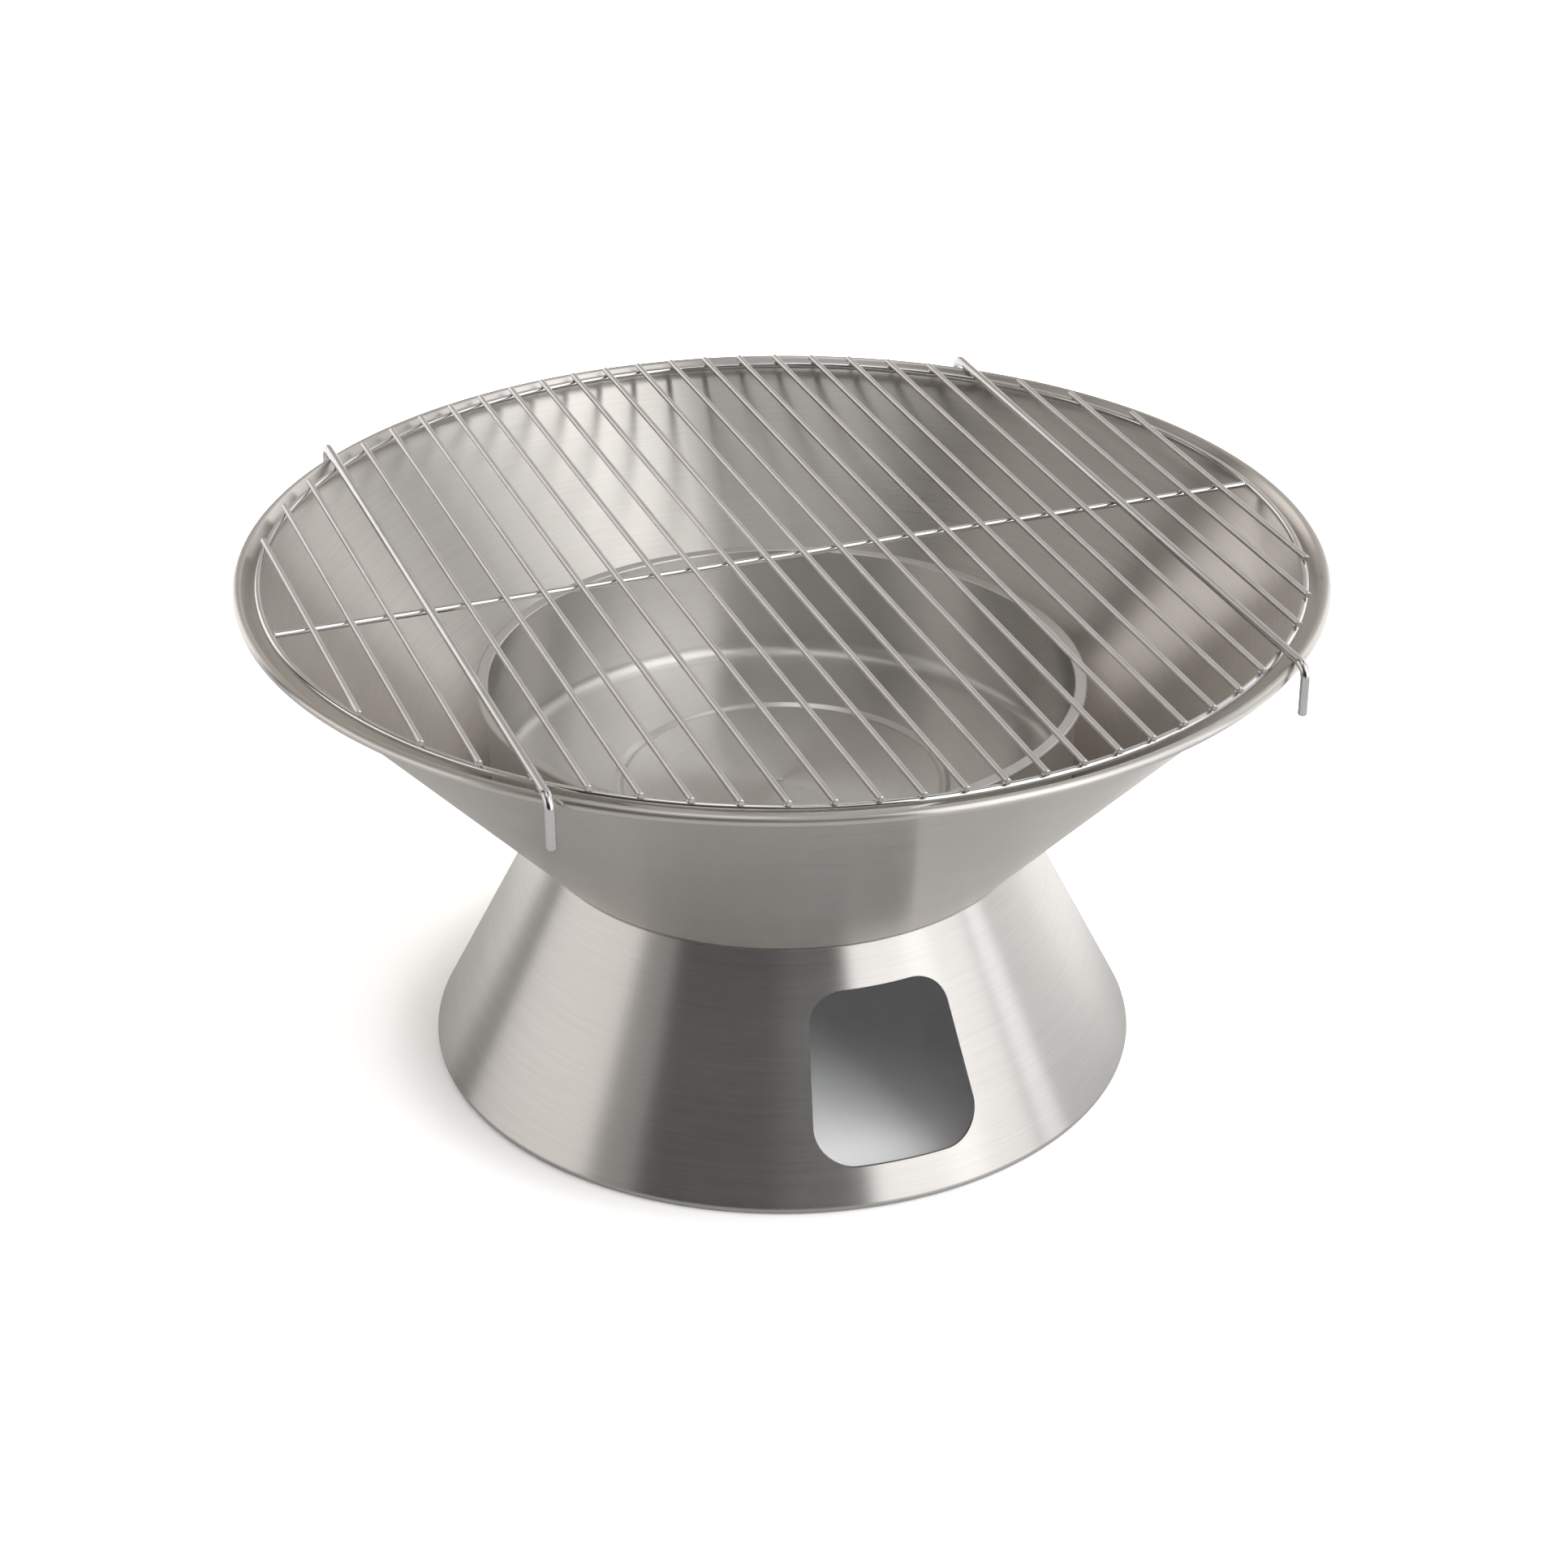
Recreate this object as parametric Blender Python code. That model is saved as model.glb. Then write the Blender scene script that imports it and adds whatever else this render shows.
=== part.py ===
"""Fire pit with a lift-off grate, in brushed stainless steel.

A conical bowl stands on a conical base and is bolted to it at the narrow neck. A loose fire pan
drops into the bowl and wedges on the cone. A wire grate hangs inside the rim on four hooks.

Metres, +Z up. The origin is on the ground, on the axis of the base. The air opening in the base
faces -Y, the grate's wires run along Y and its cross wire along X.
"""

import math

import bmesh
import bpy

# ---------------------------------------------------------------- driving dimensions

GAP = 0.0003                    # clearance left between pieces that touch or are welded
SEGMENTS = 64                   # facets round every turned sheet part
SHARP_ANGLE = math.radians(35)  # edges sharper than this are not shaded smooth

# Bowl: an inverted cone with a rolled rim
RIM_RADIUS = 0.290              # outer edge of the rolled rim
RIM_TOP = 0.290                 # height of the rim over the ground
RIM_ROLL = 0.0028               # radius of the roll
SHEET = 0.0012                  # sheet thickness of bowl and base

# Neck: both cones end here in a turned-in flange
NECK_RADIUS = 0.1352
NECK_HEIGHT = 0.1255
NECK_BEND = 0.0016              # outer radius of the two bends
NECK_BORE = 0.1180              # inner edge of both flanges

# Base: a cone that widens to the ground
BASE_RADIUS = 0.1968            # widest point, just over the ground
FOOT_ROLL = 0.0030              # outer radius of the turned-in foot
FOOT_WIDTH = 0.0140             # how far the foot reaches inwards

# Air opening in the base, symmetric about the -Y direction
OPENING_LOW = 0.0213
OPENING_HIGH = 0.1047
OPENING_HALF_ANGLE = math.radians(14.75)
OPENING_CORNER = 0.0205

# Fire pan: straight wall, flat hemmed lip, a pressed groove in the floor
PAN_RADIUS = 0.1597             # outside of the wall
PAN_SHEET = 0.0010
PAN_TOP = 0.2190
PAN_CORNER = 0.0040             # outer radius between wall and floor
PAN_SEAT_GAP = 0.0004           # clearance where the corner wedges on the cone
LIP_RADIUS = 0.1657
LIP_THICKNESS = 0.0024
GROOVE_RADIUS = 0.0900
GROOVE_HALF_WIDTH = 0.0038
GROOVE_DEPTH = 0.0016

# Grate
GRATE_RING_RADIUS = 0.2767      # centre line of the ring
RING_WIRE = 0.0020              # wire radii
CROSS_WIRE = 0.0019
BAR_WIRE = 0.00175
HANDLE_WIRE = 0.0025
WIRE_PITCH = 0.0205
WIRE_PLACES = 26                # evenly spaced wires, handle wires included
HANDLE_PLACES = (3, 22)         # which of them are the thicker handle wires
BAR_OVERHANG = 0.0035           # how far a bar runs past the ring's centre line
HOOK_REACH = 0.2230             # half distance between the two legs of one handle wire
HOOK_BEND = 0.0070              # bend radius on the wire's centre line
HOOK_TIP = 0.2657               # height of the hooks' lower ends
HOOK_TIP_ROUNDING = 0.0015      # length over which a hook's end is rounded
HOOK_TIP_FLAT = 0.6             # radius of the flat left there, as a share of the wire's
WIRE_SIDES = 10
RING_SIDES = 8

# Neck bolts: M5 button heads from above, nuts below
BOLT_COUNT = 4
BOLT_CIRCLE = 0.1260
BOLT_RADIUS = 0.0025
BOLT_HOLE = 0.0029
BOLT_LENGTH = 0.0100            # under the head
HEAD_RADIUS = 0.00475
HEAD_HEIGHT = 0.0027
HEAD_EDGE = 0.00054             # upright edge under the domed part of the head
CROWN_FLAT = 0.0022             # radius of the flat round the socket
SOCKET_RADIUS = 0.0017          # corner radius of the hexagonal socket
SOCKET_DEPTH = 0.0016
NUT_RADIUS = 0.00462            # corner radius of the nut
NUT_HEIGHT = 0.0040
TIP_CHAMFER = 0.0006
BOLT_SIDES = 12

# Facets along each rounded stretch of a profile
BEND_STEPS = 3
RIM_STEPS = 10
FOOT_STEPS = 5
OPENING_CORNER_STEPS = 7
GROOVE_STEPS = 4
LIP_STEPS = 4
HOOK_STEPS = 6

# Steel finishes: colour and roughness
BASE_FINISH = ((0.62, 0.605, 0.585), 0.28)
BOWL_FINISH = ((0.60, 0.585, 0.565), 0.30)
PAN_FINISH = ((0.58, 0.565, 0.54), 0.26)
RING_FINISH = ((0.72, 0.71, 0.70), 0.16)
BAR_FINISH = ((0.70, 0.69, 0.675), 0.30)
HANDLE_FINISH = ((0.74, 0.73, 0.72), 0.18)
FASTENER_FINISH = ((0.56, 0.56, 0.57), 0.32)

# ---------------------------------------------------------------- derived dimensions

ROLL_CENTRE = (RIM_RADIUS - RIM_ROLL, RIM_TOP - RIM_ROLL)
_RUN = ROLL_CENTRE[0] - NECK_RADIUS
_RISE = ROLL_CENTRE[1] - NECK_HEIGHT
# The inner face of the sheet runs tangent into the roll.
BOWL_SLOPE = math.atan2(_RISE, _RUN) + math.asin((RIM_ROLL - SHEET) / math.hypot(_RUN, _RISE))

FOOT_CENTRE = (BASE_RADIUS - FOOT_ROLL, FOOT_ROLL)
_RUN = FOOT_CENTRE[0] - NECK_RADIUS
_DROP = NECK_HEIGHT - FOOT_CENTRE[1]
# The outer face of the sheet runs tangent into the foot.
BASE_SLOPE = math.atan2(_DROP, _RUN) - math.asin(FOOT_ROLL / math.hypot(_RUN, _DROP))

# The pan's corner arc is tangent to the inside of the cone, less the seat gap.
_CORNER_RUN = PAN_RADIUS - PAN_CORNER - (NECK_RADIUS - SHEET * math.sin(BOWL_SLOPE))
_CORNER_RISE = (PAN_CORNER + PAN_SEAT_GAP + _CORNER_RUN * math.sin(BOWL_SLOPE)) / math.cos(BOWL_SLOPE)
PAN_BOTTOM = NECK_HEIGHT + SHEET * math.cos(BOWL_SLOPE) + _CORNER_RISE - PAN_CORNER

# The handle wires lie on the rim and the ring hangs under them.
HANDLE_Z = RIM_TOP + GAP + HANDLE_WIRE
RING_Z = HANDLE_Z - HANDLE_WIRE - GAP - RING_WIRE
BAR_Z = RING_Z + RING_WIRE + GAP + BAR_WIRE

NECK_FACE_LOW = NECK_HEIGHT - GAP / 2       # top face of the base's flange
NECK_FACE_HIGH = NECK_HEIGHT + GAP / 2      # bottom face of the bowl's flange

# ---------------------------------------------------------------- helpers


def steel(name, finish):
    """A stainless steel material."""
    colour, roughness = finish
    material = bpy.data.materials.new(name)
    material.use_nodes = True
    shader = material.node_tree.nodes["Principled BSDF"]
    shader.inputs["Base Color"].default_value = (*colour, 1.0)
    shader.inputs["Metallic"].default_value = 1.0
    shader.inputs["Roughness"].default_value = roughness
    return material


def arc(centre, radius, start, end, steps):
    """Points along an arc from angle start to angle end, both ends included."""
    points = []
    for i in range(steps + 1):
        angle = start + (end - start) * i / steps
        points.append((centre[0] + radius * math.cos(angle), centre[1] + radius * math.sin(angle)))
    return points


def add_object(name, bm, material, parent=None):
    """Turn a bmesh into a smooth-shaded object."""
    bmesh.ops.recalc_face_normals(bm, faces=bm.faces)
    mesh = bpy.data.meshes.new(name)
    bm.to_mesh(mesh)
    bm.free()
    mesh.shade_smooth()
    mesh.set_sharp_from_angle(angle=SHARP_ANGLE)
    mesh.materials.append(material)
    piece = bpy.data.objects.new(name, mesh)
    bpy.context.scene.collection.objects.link(piece)
    if parent is not None:
        piece.parent = parent
    return piece


def add_empty(name, height):
    """An empty on the Z axis that a lift-off body hangs on."""
    empty = bpy.data.objects.new(name, None)
    empty.location = (0.0, 0.0, height)
    bpy.context.scene.collection.objects.link(empty)
    return empty


def turned(profile, segments, lift=0.0):
    """Turn a profile of (radius, height) points round Z. The profile is a closed outline,
    or an open one whose two ends are on the axis."""
    bm = bmesh.new()
    verts = [bm.verts.new((radius, 0.0, height - lift)) for radius, height in profile]
    edges = [bm.edges.new(pair) for pair in zip(verts, verts[1:])]
    if profile[0][0] > 0.0:
        edges.append(bm.edges.new((verts[-1], verts[0])))
    bmesh.ops.spin(
        bm, geom=verts + edges, cent=(0, 0, 0), axis=(0, 0, 1),
        angle=math.tau, steps=segments, use_merge=True,
    )
    bmesh.ops.remove_doubles(bm, verts=bm.verts, dist=1e-6)
    return bm


def swept_wire(stations, sides):
    """A wire along a path in the YZ plane. A station is (y, z, heading, wire radius)."""
    bm = bmesh.new()
    rings = []
    for y, z, heading, radius in stations:
        ring = []
        for i in range(sides):
            angle = math.tau * (i + 0.5) / sides
            side = radius * math.cos(angle)
            rise = radius * math.sin(angle)
            place = (side, y - rise * math.sin(heading), z + rise * math.cos(heading))
            ring.append(bm.verts.new(place))
        rings.append(ring)
    for ring, following in zip(rings, rings[1:]):
        for i in range(sides):
            j = (i + 1) % sides
            bm.faces.new((ring[i], ring[j], following[j], following[i]))
    bm.faces.new(rings[0])
    bm.faces.new(rings[-1])
    return bm


def prism(outline, y_from, y_to):
    """Extrude an outline of (x, z) points along Y."""
    bm = bmesh.new()
    near = [bm.verts.new((x, y_from, z)) for x, z in outline]
    far = [bm.verts.new((x, y_to, z)) for x, z in outline]
    bm.faces.new(near)
    bm.faces.new(far)
    for i in range(len(outline)):
        j = (i + 1) % len(outline)
        bm.faces.new((near[i], near[j], far[j], far[i]))
    return bm


def rounded(corners, radius, steps):
    """A polygon with each corner replaced by an arc."""
    points = []
    count = len(corners)
    for i in range(count):
        before = corners[i - 1]
        here = corners[i]
        after = corners[(i + 1) % count]
        into = math.atan2(here[1] - before[1], here[0] - before[0])
        out = math.atan2(after[1] - here[1], after[0] - here[0])
        turn = (out - into + math.pi) % math.tau - math.pi
        setback = radius * math.tan(abs(turn) / 2)
        side = math.copysign(math.pi / 2, turn)
        start = (here[0] - setback * math.cos(into), here[1] - setback * math.sin(into))
        centre = (start[0] + radius * math.cos(into + side), start[1] + radius * math.sin(into + side))
        points += arc(centre, radius, into - side, into - side + turn, steps)
    return points


def bolt_places():
    """Centres of the neck bolts, between the axes."""
    places = []
    for i in range(BOLT_COUNT):
        angle = math.tau * (i + 0.5) / BOLT_COUNT
        places.append((BOLT_CIRCLE * math.cos(angle), BOLT_CIRCLE * math.sin(angle)))
    return places


def as_cutter(name, bm, piece):
    """Hide the bmesh as a cutter and cut it out of the piece."""
    bmesh.ops.recalc_face_normals(bm, faces=bm.faces)
    mesh = bpy.data.meshes.new(name)
    bm.to_mesh(mesh)
    bm.free()
    cutter = bpy.data.objects.new(name, mesh)
    cutter.hide_render = True
    cutter.display_type = "WIRE"
    bpy.context.scene.collection.objects.link(cutter)
    cut = piece.modifiers.new(name, "BOOLEAN")
    cut.operation = "DIFFERENCE"
    cut.solver = "EXACT"
    cut.object = cutter
    return cutter


def bolt_hole_cutter(name, piece):
    """Cut the four bolt holes through a neck flange."""
    bm = bmesh.new()
    for x, y in bolt_places():
        made = bmesh.ops.create_cone(
            bm, cap_ends=True, segments=BOLT_SIDES, radius1=BOLT_HOLE, radius2=BOLT_HOLE, depth=8 * SHEET,
        )
        bmesh.ops.translate(bm, verts=made["verts"], vec=(x, y, NECK_HEIGHT))
    as_cutter(name, bm, piece)


# ---------------------------------------------------------------- sheet parts


def bowl_profile():
    """Outline of the bowl's sheet, from the neck flange round the rim and back."""
    along = (math.cos(BOWL_SLOPE), math.sin(BOWL_SLOPE))
    inward = (-along[1], along[0])
    outward_angle = BOWL_SLOPE - math.pi / 2

    bend_z = NECK_FACE_HIGH + NECK_BEND
    travel = (bend_z - NECK_HEIGHT - NECK_BEND * inward[1]) / along[1]
    bend = (NECK_RADIUS + NECK_BEND * inward[0] + travel * along[0], bend_z)

    tuck = math.sqrt(RIM_ROLL ** 2 - (RIM_ROLL - SHEET) ** 2)
    under_x = inward[0] * (RIM_ROLL - SHEET) - along[0] * tuck
    under_z = inward[1] * (RIM_ROLL - SHEET) - along[1] * tuck
    roll_start = math.atan2(under_z, under_x)

    outline = [(NECK_BORE, NECK_FACE_HIGH)]
    outline += arc(bend, NECK_BEND, -math.pi / 2, outward_angle, BEND_STEPS)
    outline += arc(ROLL_CENTRE, RIM_ROLL, roll_start, BOWL_SLOPE + math.pi / 2, RIM_STEPS)
    outline += arc(bend, NECK_BEND - SHEET, outward_angle, -math.pi / 2, 1)
    outline.append((NECK_BORE, NECK_FACE_HIGH + SHEET))
    return outline


def make_bowl():
    """The inverted cone with its rolled rim and its neck flange."""
    material = steel("bowl_steel", BOWL_FINISH)
    bowl = add_object("bowl_cone", turned(bowl_profile(), SEGMENTS), material)
    bolt_hole_cutter("bowl_bolt_holes", bowl)
    return bowl


def base_profile():
    """Outline of the base's sheet, from the neck flange down to the turned-in foot and back."""
    along = (math.cos(BASE_SLOPE), -math.sin(BASE_SLOPE))
    outward = (math.sin(BASE_SLOPE), math.cos(BASE_SLOPE))
    outward_angle = math.pi / 2 - BASE_SLOPE

    bend_z = NECK_FACE_LOW - NECK_BEND
    travel = (bend_z - NECK_HEIGHT + NECK_BEND * outward[1]) / along[1]
    bend = (NECK_RADIUS - NECK_BEND * outward[0] + travel * along[0], bend_z)
    foot_inner = BASE_RADIUS - FOOT_WIDTH

    outline = [(NECK_BORE, NECK_FACE_LOW)]
    outline += arc(bend, NECK_BEND, math.pi / 2, outward_angle, BEND_STEPS)
    outline += arc(FOOT_CENTRE, FOOT_ROLL, outward_angle, -math.pi / 2, FOOT_STEPS)
    outline.append((foot_inner, 0.0))
    outline.append((foot_inner, SHEET))
    outline += arc(FOOT_CENTRE, FOOT_ROLL - SHEET, -math.pi / 2, outward_angle, BEND_STEPS)
    outline += arc(bend, NECK_BEND - SHEET, outward_angle, math.pi / 2, 1)
    outline.append((NECK_BORE, NECK_FACE_LOW - SHEET))
    return outline


def opening_outline():
    """Outline of the air opening in (x, height). Its sides follow the cone's straight lines."""
    slant = math.sin(BASE_SLOPE)

    def half_width(height):
        radius = NECK_RADIUS + (NECK_HEIGHT - height) / math.tan(BASE_SLOPE)
        return radius * math.sin(OPENING_HALF_ANGLE)

    low = OPENING_LOW / slant
    high = OPENING_HIGH / slant
    wide = half_width(OPENING_LOW)
    narrow = half_width(OPENING_HIGH)
    corners = [(-wide, low), (wide, low), (narrow, high), (-narrow, high)]
    return [(x, along * slant) for x, along in rounded(corners, OPENING_CORNER, OPENING_CORNER_STEPS)]


def make_base():
    """The lower cone with the air opening."""
    material = steel("base_steel", BASE_FINISH)
    base = add_object("base_cone", turned(base_profile(), SEGMENTS), material)
    cutter = prism(opening_outline(), -BASE_RADIUS - FOOT_WIDTH, -NECK_RADIUS / 2)
    as_cutter("air_opening", cutter, base)
    bolt_hole_cutter("base_bolt_holes", base)
    return base


def groove(height):
    """The pressed groove in the pan's floor, from its outer to its inner edge."""
    points = []
    for i in range(GROOVE_STEPS + 1):
        offset = 1.0 - 2.0 * i / GROOVE_STEPS
        dip = GROOVE_DEPTH * (1.0 + math.cos(math.pi * offset)) / 2
        points.append((GROOVE_RADIUS + GROOVE_HALF_WIDTH * offset, height - dip))
    return points


def pan_profile():
    """Outline of the pan from the middle of its floor, over the lip, to the middle underneath."""
    floor = PAN_BOTTOM + PAN_SHEET
    inner_corner = PAN_CORNER - PAN_SHEET
    inner_radius = PAN_RADIUS - PAN_SHEET
    lip_roll = LIP_THICKNESS / 2
    edge = PAN_SHEET
    right = math.pi / 2

    outline = [(0.0, floor)]
    outline += groove(floor)[::-1]
    corner_centre = (inner_radius - inner_corner, floor + inner_corner)
    outline += arc(corner_centre, inner_corner, -right, 0.0, BEND_STEPS)
    outline += arc((inner_radius + edge, PAN_TOP - edge), edge, 2 * right, right, LIP_STEPS // 2)
    outline += arc((LIP_RADIUS - lip_roll, PAN_TOP - lip_roll), lip_roll, right, -right, LIP_STEPS)
    outline.append((PAN_RADIUS, PAN_TOP - LIP_THICKNESS))
    corner_centre = (PAN_RADIUS - PAN_CORNER, PAN_BOTTOM + PAN_CORNER)
    outline += arc(corner_centre, PAN_CORNER, 0.0, -right, BEND_STEPS)
    outline += groove(PAN_BOTTOM)
    outline.append((0.0, PAN_BOTTOM))
    return outline


def make_pan(parent):
    """The loose fire pan."""
    material = steel("pan_steel", PAN_FINISH)
    lift = parent.location.z
    return add_object("fire_pan", turned(pan_profile(), SEGMENTS, lift), material, parent)


# ---------------------------------------------------------------- grate


def straight_wire(name, radius, half_length, place, heading, material, parent):
    """A straight wire with square ends. Heading is its angle from the Y axis about Z."""
    bm = bmesh.new()
    bmesh.ops.create_cone(
        bm, cap_ends=True, segments=WIRE_SIDES, radius1=radius, radius2=radius, depth=2 * half_length,
    )
    wire = add_object(name, bm, material, parent)
    wire.location = place
    wire.rotation_euler = (math.pi / 2, 0.0, heading)
    return wire


def make_ring(parent, material):
    """The grate's round frame."""
    profile = arc((GRATE_RING_RADIUS, 0.0), RING_WIRE, math.pi / 8, math.pi / 8 + math.tau, RING_SIDES)
    return add_object("grate_ring", turned(profile[:-1], SEGMENTS), material, parent)


def handle_stations():
    """A handle wire: along Y over the grate, bent down into a hook at both ends."""
    drop = HANDLE_Z - HOOK_TIP
    turn_start = HOOK_REACH - HOOK_BEND
    half = []
    for i in range(HOOK_STEPS + 1):
        angle = math.pi / 2 * i / HOOK_STEPS
        y = turn_start + HOOK_BEND * math.sin(angle)
        z = -HOOK_BEND * (1.0 - math.cos(angle))
        half.append((y, z, -angle, HANDLE_WIRE))
    # The tip is rounded over.
    for share in (0.0, 0.6, 1.0):
        shrink = math.sqrt(1.0 - (1.0 - HOOK_TIP_FLAT ** 2) * share ** 2)
        z = -drop + HOOK_TIP_ROUNDING * (1.0 - share)
        half.append((HOOK_REACH, z, -math.pi / 2, HANDLE_WIRE * shrink))
    mirrored = [(-y, z, -heading, radius) for y, z, heading, radius in reversed(half)]
    return mirrored + half


def make_grate(parent):
    """Ring, cross wire, thin bars and the two handle wires."""
    level = RING_Z
    ring_steel = steel("grate_ring_steel", RING_FINISH)
    bar_steel = steel("grate_bar_steel", BAR_FINISH)
    handle_steel = steel("grate_handle_steel", HANDLE_FINISH)
    make_ring(parent, ring_steel)
    cross_half = GRATE_RING_RADIUS - RING_WIRE - 2 * GAP
    cross_place = (0.0, 0.0, RING_Z + RING_WIRE - CROSS_WIRE - level)
    straight_wire("grate_cross_wire", CROSS_WIRE, cross_half, cross_place, math.pi / 2, ring_steel, parent)
    bars = 0
    for place in range(WIRE_PLACES):
        x = (place - (WIRE_PLACES - 1) / 2) * WIRE_PITCH
        if place in HANDLE_PLACES:
            side = "left" if x < 0 else "right"
            bm = swept_wire(handle_stations(), WIRE_SIDES)
            handle = add_object(f"handle_wire_{side}", bm, handle_steel, parent)
            handle.location = (x, 0.0, HANDLE_Z - level)
            continue
        bars += 1
        half_length = math.sqrt(GRATE_RING_RADIUS ** 2 - x ** 2) + BAR_OVERHANG
        spot = (x, 0.0, BAR_Z - level)
        straight_wire(f"grate_bar_{bars:02d}", BAR_WIRE, half_length, spot, 0.0, bar_steel, parent)


# ---------------------------------------------------------------- neck bolts


def bolt_profile():
    """A button head over a plain shank, from the top of the head to the tip of the shank."""
    dome_width = HEAD_RADIUS - CROWN_FLAT
    dome_height = HEAD_HEIGHT - HEAD_EDGE
    outline = [(0.0, HEAD_HEIGHT)]
    for out, up in arc((0.0, 0.0), 1.0, math.pi / 2, 0.0, 4):
        outline.append((CROWN_FLAT + dome_width * out, HEAD_EDGE + dome_height * up))
    outline.append((HEAD_RADIUS, 0.0))
    outline.append((BOLT_RADIUS, 0.0))
    outline.append((BOLT_RADIUS, -BOLT_LENGTH + TIP_CHAMFER))
    outline.append((BOLT_RADIUS - TIP_CHAMFER, -BOLT_LENGTH))
    outline.append((0.0, -BOLT_LENGTH))
    return outline


def make_bolts():
    """Four bolts through the two neck flanges, each with its nut."""
    material = steel("fastener_steel", FASTENER_FINISH)
    head_seat = NECK_FACE_HIGH + SHEET + GAP
    nut_top = NECK_FACE_LOW - SHEET - GAP
    for number, (x, y) in enumerate(bolt_places(), start=1):
        bolt = add_object(f"neck_bolt_{number}", turned(bolt_profile(), BOLT_SIDES), material)
        bolt.location = (x, y, head_seat)
        socket = bmesh.new()
        bmesh.ops.create_cone(
            socket, cap_ends=True, segments=6, radius1=SOCKET_RADIUS, radius2=SOCKET_RADIUS,
            depth=2 * SOCKET_DEPTH,
        )
        cutter = as_cutter(f"bolt_socket_{number}", socket, bolt)
        cutter.location = (x, y, head_seat + HEAD_HEIGHT)

        body = bmesh.new()
        bmesh.ops.create_cone(
            body, cap_ends=True, segments=6, radius1=NUT_RADIUS, radius2=NUT_RADIUS, depth=NUT_HEIGHT,
        )
        nut = add_object(f"neck_nut_{number}", body, material)
        nut.location = (x, y, nut_top - NUT_HEIGHT / 2)
        bore = bmesh.new()
        bmesh.ops.create_cone(
            bore, cap_ends=True, segments=BOLT_SIDES, radius1=BOLT_HOLE, radius2=BOLT_HOLE,
            depth=2 * NUT_HEIGHT,
        )
        cutter = as_cutter(f"nut_bore_{number}", bore, nut)
        cutter.location = nut.location


# ---------------------------------------------------------------- assembly


def main():
    """Clear the scene and build every part."""
    for leftover in list(bpy.data.objects):
        bpy.data.objects.remove(leftover, do_unlink=True)
    make_base()
    make_bowl()
    make_bolts()
    make_pan(add_empty("pan_lift_axis", PAN_TOP))
    make_grate(add_empty("grate_lift_axis", RING_Z))


main()
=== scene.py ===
"""Looks of the fire pit with grate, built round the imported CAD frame.

Each CAD part is remade here as a finer mesh on the same sizes, rides on the same body and gets a
procedural steel finish. Metres, +Z up, in the CAD's own frame: the origin is on the ground, on the
axis, the air opening faces -Y, the grate's bars run along Y and its cross wire along X.
"""

import math
import random

import bmesh
import bpy
from mathutils import Matrix, Vector


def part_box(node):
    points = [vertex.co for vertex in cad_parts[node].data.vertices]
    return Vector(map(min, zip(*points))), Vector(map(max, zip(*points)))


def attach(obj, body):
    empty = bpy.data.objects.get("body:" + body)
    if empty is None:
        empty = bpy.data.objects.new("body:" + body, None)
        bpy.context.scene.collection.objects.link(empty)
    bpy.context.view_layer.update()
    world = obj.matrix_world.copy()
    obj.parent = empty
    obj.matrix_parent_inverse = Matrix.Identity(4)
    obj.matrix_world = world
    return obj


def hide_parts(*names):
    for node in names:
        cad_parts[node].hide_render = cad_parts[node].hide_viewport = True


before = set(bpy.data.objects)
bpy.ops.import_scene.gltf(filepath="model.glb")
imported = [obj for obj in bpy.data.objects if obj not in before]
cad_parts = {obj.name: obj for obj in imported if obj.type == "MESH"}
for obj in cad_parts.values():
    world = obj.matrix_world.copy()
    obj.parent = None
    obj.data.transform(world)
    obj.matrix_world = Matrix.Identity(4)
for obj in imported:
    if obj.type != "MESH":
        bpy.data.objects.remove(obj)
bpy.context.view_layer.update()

# ---------------------------------------------------------------- sizes

UP = math.pi / 2

# Read from the frame
bowl_low, bowl_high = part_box("bowl_cone")
_, base_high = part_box("base_cone")
pan_low, pan_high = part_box("fire_pan")
ring_low, ring_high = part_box("grate_ring")
cross_low, cross_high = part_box("grate_cross_wire")
handle_low, handle_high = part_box("handle_wire_right")

# Not to be had from a box: the sections of the CAD parts
SHEET = 0.0012
RIM_ROLL = 0.0028
NECK_RADIUS = 0.1352
NECK_BEND = 0.0016
NECK_BORE = 0.1180
FOOT_ROLL = 0.0030
FOOT_WIDTH = 0.0140

OPENING_LOW = 0.0213
OPENING_HIGH = 0.1047
OPENING_HALF_ANGLE = math.radians(14.75)
OPENING_CORNER = 0.0205

PAN_RADIUS = 0.1597
PAN_SHEET = 0.0010
PAN_CORNER = 0.0040
PAN_FILLET = 0.0080
LIP_THICKNESS = 0.0024
GROOVE_RADIUS = 0.0900
GROOVE_HALF_WIDTH = 0.0038
GROOVE_DEPTH = 0.0016
CENTRE_MARK_RADIUS = 0.0024
CENTRE_MARK_DEPTH = 0.00035

RING_WIRE = 0.0020
HANDLE_WIRE = 0.0025
HOOK_BEND = 0.0070
HOOK_TIP_TURN = math.radians(78)        # how far the rounding of a hook's tip goes
HOOK_TIP_ROUNDING = 0.7                 # its height, as a share of the wire's radius
BAR_CHAMFER = 0.00035

# Weld nuggets: half sizes along x, y and z, how uneven they are and the seed of the draws
RING_NUGGET = (0.0015, 0.0017, 0.0009)
CROSS_NUGGET = (0.0014, 0.0014, 0.0008)
CROSS_END_NUGGET = (0.0012, 0.0021, 0.0019)
NUGGET_SWELL = (0.9, 1.1)
NUGGET_WAVES = ((3.0, 0.06), (4.0, 0.06), (5.0, 0.04))  # waves over the lump, and how high
NUGGET_SEED = 7

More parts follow.
